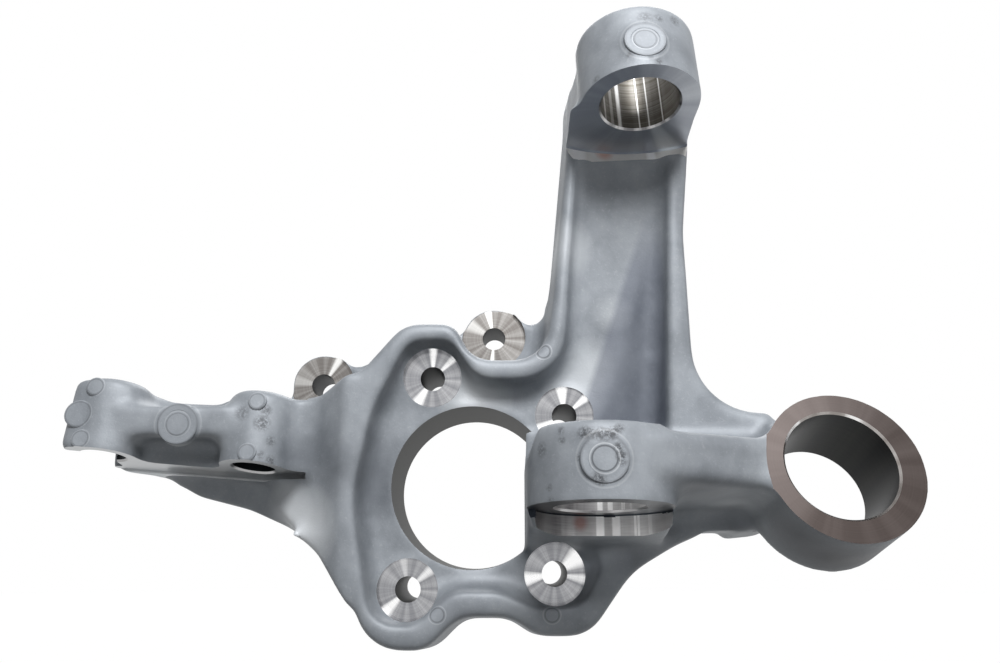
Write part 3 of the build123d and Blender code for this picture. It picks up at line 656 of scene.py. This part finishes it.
def raw_casting():
    """The softened skin of the casting, and the cutters that shave it."""
    mesh = bmesh.new()
    mesh.from_mesh(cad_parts["knuckle"].data)
    bmesh.ops.remove_doubles(mesh, verts=mesh.verts, dist=1e-5)
    join(mesh, machining_stock())
    data = bpy.data.meshes.new("raw_casting")
    mesh.to_mesh(data)
    mesh.free()
    made = bpy.data.objects.new("raw_casting", data)
    bpy.context.scene.collection.objects.link(made)
    remesh(made, "skin")
    soften(made, "ease", EASE_ROUNDS)
    swell(made, "fill_corners", CORNER_FILL)
    remesh(made, "filled_skin")
    soften(made, "ease_filled", EASE_FILLED_ROUNDS)
    swell(made, "draw_back", -CORNER_FILL)
    tools = [
        cut(made, "shave_pillar", [prism(PILLAR_CORNER, FLOOR_DEPTH + 2, 175.0)]),
        cut(made, "shave_arm", [prism(ARM_LEFT_EDGE, -10.0, 62.0)]),
        cut(made, "shave_boss_top", [hull(boss_top_cutter())]),
        cut(made, "shave_beside", [beside_pillar()]),
        cut(made, "shave_web", [prism(WEB_UNDERSIDE, -6.0, 92.0)]),
        cut(made, "shave_outer_boss", [hull(OUTER_BOSS_SLOPE)]),
        cut(made, "shave_flange_tip", [hull(FLANGE_TIP)]),
    ]
    remesh(made, "last_skin")
    soften(made, "soften", SOFTEN_ROUNDS)
    made.modifiers.new("thin", "DECIMATE").ratio = THIN_SHARE
    return made, tools


def ringed_disc(place):
    """A raised disc with a groove round its middle, its edges rounded."""
    groove = MARK_PROUD - 0.5
    profile = [
        (0, -MARK_ROOT), (MARK_R + 0.6, -MARK_ROOT), (MARK_R, MARK_PROUD - 0.3), (MARK_R - 0.35, MARK_PROUD),
        (MARK_GROOVE_R + 1.5, MARK_PROUD), (MARK_GROOVE_R + 1.1, groove), (MARK_GROOVE_R + 0.5, groove),
        (MARK_GROOVE_R, MARK_PROUD + 0.1), (0, MARK_PROUD + 0.1),
    ]
    return lathe(profile, place, MARK_STEPS)


def pad(x, z, radius, depth):
    """A small raised round pad on the front of the left arm."""
    profile = [(0, -PAD_ROOT), (radius + 0.5, -PAD_ROOT), (radius, 0.2), (radius - 0.5, PAD_PROUD), (0, PAD_PROUD)]
    return lathe(profile, seat((x, -depth, z), PAD_FACING), HOLE_STEPS)


def mould_marks():
    """The raised discs and pads, in groups that don't touch each other."""
    discs = [ringed_disc(place) for place in DISC_PLACES]
    return discs, [pad(*p) for p in PADS[0:1] + PADS[3:]], [pad(*PADS[1])], [pad(*PADS[2])]


# The machined casting.


def cut_seats(raw):
    """Mills and turns the faces of the five seats, and returns the cutters."""
    head_face = turned_aluminium(
        "milled_head_face", HEAD_MOUTH, HEAD_UP, "9498a0", "d4d8dc", HEAD_HIGHLIGHTS, 0.34, metal=0.8)
    # The ledge's near-white, mostly matt base is painted light on a band that lies under the head, with painted
    # highlights and a warm painted reflection.
    head_ledge = turned_aluminium(
        "milled_head_ledge", HEAD_MOUTH, HEAD_UP, "d8d6d2", "ffffff", LEDGE_HIGHLIGHTS, 0.34, warm_reflection=LEDGE_TINT, metal=0.2)
    # The boss face's near-black base is painted shade on a face that looks down, and its beam a painted highlight.
    boss_face = turned_aluminium(
        "milled_boss_face", BOSS_MOUTH, BOSS_UP, "1f2329", "5a6068", ((40.0, 40.0, 0.5),), 0.34)
    boss_slot = turned_aluminium(
        "milled_boss_slot", BOSS_MOUTH, BOSS_UP, "7c7a7c", "ffffff", SLOT_HIGHLIGHTS, 0.32, warm_reflection=SLOT_TINT, metal=0.6)
    eye_face = turned_aluminium(
        "turned_eye_face", EYE_MOUTH, EYE_BACK, "3a3432", "5f5856", ((-135.0, 100.0, 0.7),), 0.5)
    foot_face = turned_aluminium("milled_arm_foot", ARM_INNER, ARM_UP, "a4a6a8", "c0c2c4", rough=0.36)
    foot_wall = turned_aluminium("milled_foot_wall", ARM_INNER, ARM_UP, "d4d8db", "ffffff", FOOT_HIGHLIGHTS, 0.4, metal=0.9)
    ledge = shifted(HEAD_SEAT, 0, HEAD_LEDGE_REACH - HEAD_LEDGE_R)
    slot = shifted(BOSS_SEAT, BOSS_CUTTER_SHIFT, 0)
    under = trimmed(disc(BOSS_R + 1.5, -STOCK - 0.8, 0, BOSS_SEAT), BOSS_SEAT, (0, 1, 0), 7)
    wall = -ARM_INNER[1] - ARM_WALL_DEPTH
    steps = (
        ("head_ledge", disc(HEAD_LEDGE_R, -LEDGE_HEIGHT, -SKIM_OVERLAP, ledge, LEDGE_STEPS), head_ledge),
        ("head_mill", disc(HEAD_LEDGE_R, -SKIM, 0, ledge, LEDGE_STEPS), head_face),
        ("head_top", disc(HEAD_R + 4, HEAD_LENGTH, HEAD_LENGTH + OVERRUN, HEAD_SEAT), head_face),
        ("boss_slot", disc(BOSS_CUTTER_R, -SLOT_HEIGHT, -SKIM_OVERLAP, slot), boss_slot),
        ("boss_mill", disc(BOSS_CUTTER_R, -SKIM, 0, slot), boss_face),
        ("boss_under", under, boss_face),
        ("boss_top", disc(BOSS_BORE_R + 6, BOSS_LENGTH, BOSS_LENGTH + OVERRUN, BOSS_SEAT), boss_face),
        ("eye_front", disc(EYE_R + 1, -OVERRUN, 0, shifted(EYE_SEAT, *EYE_SHIFT)), eye_face),
        ("eye_back", disc(EYE_R - 5, EYE_LENGTH, EYE_LENGTH + OVERRUN, EYE_SEAT), eye_face),
        ("foot_wall", block(
            (FOOT_LEFT, FOOT_FRONT, -FOOT_WALL), (FOOT_RIGHT, wall, -SKIM_OVERLAP), ARM_INNER_SEAT), foot_wall),
        ("foot_mill", block((FOOT_LEFT, FOOT_FRONT, -SKIM), (FOOT_RIGHT, wall, 0), ARM_INNER_SEAT), foot_face),
    )
    tools = [cut(raw, name, [cutter], finish) for name, cutter, finish in steps]
    tops = [disc(ARM_BOSS_R + 4, ARM_LENGTH, ARM_LENGTH + OVERRUN, p) for p in (ARM_INNER_SEAT, ARM_OUTER_SEAT)]
    tools.append(cut(raw, "arm_tops", tops, foot_face))
    return tools, boss_slot


def cut_hub(raw, drilled):
    """Faces the hub's barrel, the screw seats and the ears, and drills them."""
    hub_face = turned_aluminium("turned_hub_seat", (0, 0, 0), INBOARD, "6d7175", "d4d6d7", rough=0.28)
    # The hub bore's near-black base is painted shade inside the bore.
    hub_bore = turned_aluminium("bored_hub", (0, 0, 0), INBOARD, "161715", "2a2b27", rough=0.55)
    lands = [disc(SPOTFACE_R + 2, -OVERRUN, 0, face_seat(x, z, 0)) for x, z in BOLT_PLACES]
    tools = [
        cut(raw, "hub_face", [disc(HUB_BORE_R + BARREL_WALL + 2, -OVERRUN, 0, HUB_SEAT)], hub_face),
        cut(raw, "hub_lands", lands, hub_face),
    ]
    for number, (x, z) in enumerate(BOLT_PLACES):
        finish = turned_aluminium(
            f"spotface_{number}", (x, 0, z), INBOARD, "85868a", "ffffff", SPOTFACE_HIGHLIGHTS[number], 0.26)
        land = disc(SPOTFACE_R, FLOOR_DEPTH - SPOTFACE_SINK, FLOOR_DEPTH + 26, face_seat(x, z, 0))
        tools.append(cut(raw, f"spotface_{number}", [land], finish))
    for number, (x, z) in enumerate(EAR_HOLES):
        finish = turned_aluminium(f"ear_face_{number}", (x, 0, z), INBOARD, "6e6a67", "f0f0ee", EAR_HIGHLIGHTS[number], 0.3)
        front = disc(EAR_R + 0.3, EAR_FACE_DEPTH, EAR_FACE_DEPTH + 12, face_seat(x, z, 0))
        back = disc(EAR_R + 2, -EAR_BACK - OVERRUN, -EAR_BACK, face_seat(x, z, 0))
        tools.append(cut(raw, f"ear_face_{number}", [front, back], finish))
    holes = [
        disc(BOLT_HOLE_R, -HOLE_OVERRUN, FLOOR_DEPTH + HOLE_OVERRUN, face_seat(x, z, 0), HOLE_STEPS)
        for x, z in BOLT_PLACES
    ]
    holes += [
        disc(BOLT_HOLE_R, -EAR_BACK - HOLE_OVERRUN, EAR_FACE_DEPTH + HOLE_OVERRUN, face_seat(x, z, 0), HOLE_STEPS)
        for x, z in EAR_HOLES
    ]
    bore = disc(HUB_BORE_R, -HOLE_OVERRUN, FLOOR_DEPTH + 1.5, HUB_SEAT, HUB_STEPS)
    return tools + [cut(raw, "holes", holes, drilled), cut(raw, "hub_bore", [bore], hub_bore)]


def cut_bores(raw, drilled, boss_bore):
    """Bores the five seats and chamfers their ends."""
    # Strong spokes of painted sheen glint round the chamfered edges.
    edge = turned_aluminium("chamfered_edge", HEAD_MOUTH, HEAD_UP, "5f5e60", "d8d8d8", rough=0.3, spoke_sheen=0.8)
    eye_edge = turned_aluminium("chamfered_eye", EYE_MOUTH, EYE_BACK, "8a8480", "ffffff", EYE_EDGE_HIGHLIGHTS, 0.3)
    # Bright streaks in the head's bore are painted reflections.
    head_bore = turned_aluminium(
        "bored_head", HEAD_MOUTH, HEAD_UP, "4a453c", "ffffff", BORE_HIGHLIGHTS, 0.4, 0.1, metal=0.5)
    # The eye bore's near-black base is painted shade inside the bore.
    eye_bore = turned_aluminium("bored_eye", EYE_MOUTH, EYE_BACK, "1c1d1e", "34342f", rough=0.4)
    tools = []
    for name, radius, length, place, wall, rim in (
        ("head", HEAD_BORE_R, HEAD_LENGTH, HEAD_SEAT, head_bore, edge),
        ("boss", BOSS_BORE_R, BOSS_LENGTH, BOSS_SEAT, boss_bore, edge),
        ("eye", EYE_BORE_R, EYE_LENGTH, EYE_SEAT, eye_bore, eye_edge),
        ("inner_arm", ARM_BORE_R, ARM_LENGTH, ARM_INNER_SEAT, drilled, edge),
        ("outer_arm", ARM_BORE_R, ARM_LENGTH, ARM_OUTER_SEAT, drilled, edge),
    ):
        tools.append(cut(raw, f"{name}_bore_edges", bore_edges(radius, length, place, FINE_STEPS), rim))
        bore = disc(radius, -STOCK - 1, length + STOCK + 1, place, FINE_STEPS)
        tools.append(cut(raw, f"{name}_bore", [bore], wall))
    return tools


def finished_casting(cast):
    """Adds the mould marks to the raw casting and cuts its machined faces and bores."""
    raw, tools = raw_casting()
    raw.data.materials.clear()
    raw.data.materials.append(cast)
    for number, group in enumerate(mould_marks()):
        tools.append(cut(raw, f"marks_{number}", group, cast, "UNION"))
    # The holes get a near-black base, painted shade inside them.
    drilled = turned_aluminium("drilled_hole", (0, 0, 0), INBOARD, "1c1f21", "2f3334", rough=0.5)
    seat_tools, boss_bore = cut_seats(raw)
    tools += seat_tools + cut_hub(raw, drilled) + cut_bores(raw, drilled, boss_bore)
    bpy.context.view_layer.update()
    shape = bpy.data.meshes.new_from_object(raw.evaluated_get(bpy.context.evaluated_depsgraph_get()))
    for tool in tools + [raw]:
        bpy.data.objects.remove(tool)
    return shape


def crisp_edges(shape):
    """Smooth shading everywhere but over the edges that a cutter left."""
    mesh = bmesh.new()
    mesh.from_mesh(shape)
    bmesh.ops.remove_doubles(mesh, verts=mesh.verts, dist=2e-6)
    for face in mesh.faces:
        face.smooth = True
    for edge in mesh.edges:
        mixed = len({f.material_index for f in edge.link_faces}) > 1
        sharp = len(edge.link_faces) == 2 and edge.calc_face_angle(0) > math.radians(SHARP_DEGREES)
        edge.smooth = not (sharp or mixed)
    mesh.to_mesh(shape)
    mesh.free()


shape = finished_casting(shot_blasted_aluminium())
crisp_edges(shape)
knuckle = bpy.data.objects.new("knuckle_casting", shape)
bpy.context.scene.collection.objects.link(knuckle)
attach(knuckle, "root")
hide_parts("knuckle")


# Floor, light and camera.

FLOOR_GAP, FLOOR_R = 0.16, 6.0
MIDDLE = (0.0, -0.05, 0.07)
# Each lamp's place and size in metres, and its power in watts.
LAMPS = {
    "key": ((0.12, -1.0, 0.9), 0.45, 22.0),
    "fill": ((1.2, -0.6, 0.5), 0.7, 3.0),
    "rim": ((0.1, 0.7, 0.9), 0.6, 6.0),
}
SKY = 0.12


def floor(height):
    """A wide pale floor below the part."""
    mesh = bmesh.new()
    bmesh.ops.create_circle(mesh, cap_ends=True, segments=STEPS, radius=FLOOR_R)
    bmesh.ops.translate(mesh, vec=(0, 0, height), verts=mesh.verts)
    data = bpy.data.meshes.new("floor")
    mesh.to_mesh(data)
    mesh.free()
    made = bpy.data.objects.new("floor", data)
    data.materials.append(pale_paper())
    bpy.context.scene.collection.objects.link(made)


def lamp(name, place, size, power):
    """A soft square lamp that looks at the middle of the part."""
    data = bpy.data.lights.new(name, "AREA")
    data.shape, data.size, data.energy = "SQUARE", size, power
    made = bpy.data.objects.new(name, data)
    made.location = place
    made.rotation_euler = (Vector(MIDDLE) - Vector(place)).to_track_quat("-Z", "Y").to_euler()
    bpy.context.scene.collection.objects.link(made)


def daylight(strength):
    """An even grey sky on the part, and white where the camera or a reflection sees it."""
    world = bpy.data.worlds.new("daylight")
    bpy.context.scene.world = world
    world.use_nodes = True
    tree = world.node_tree
    white = tree.nodes["Background"]
    white.inputs["Color"].default_value = (1, 1, 1, 1)
    level = add(tree, "ShaderNodeMapRange", {"Value": seen_directly(tree), "To Min": strength, "To Max": 1.0})
    tree.links.new(level, white.inputs["Strength"])


def camera():
    """The camera at the photograph's place and angle."""
    yaw, pitch = math.radians(CAMERA_YAW), math.radians(CAMERA_PITCH)
    ahead = Vector((math.sin(yaw) * math.cos(pitch), math.cos(yaw) * math.cos(pitch), math.sin(pitch)))
    right = Vector((math.cos(yaw), -math.sin(yaw), 0))
    up = right.cross(ahead)
    data = bpy.data.cameras.new("camera")
    data.sensor_fit, data.sensor_width, data.lens = "HORIZONTAL", SENSOR_WIDTH, SENSOR_WIDTH * FOCAL_SHARE
    data.clip_start, data.clip_end = 0.01, 50.0
    made = bpy.data.objects.new("camera", data)
    made.matrix_world = Matrix((right, up, -ahead)).transposed().to_4x4()
    made.location = Vector(CAMERA_PLACE) * MM
    bpy.context.scene.collection.objects.link(made)
    bpy.context.scene.camera = made


floor(cad_box[0][2] - FLOOR_GAP)
for name, (place, size, power) in LAMPS.items():
    lamp(name, place, size, power)
daylight(SKY)
camera()
bpy.context.scene.view_settings.view_transform = "Standard"
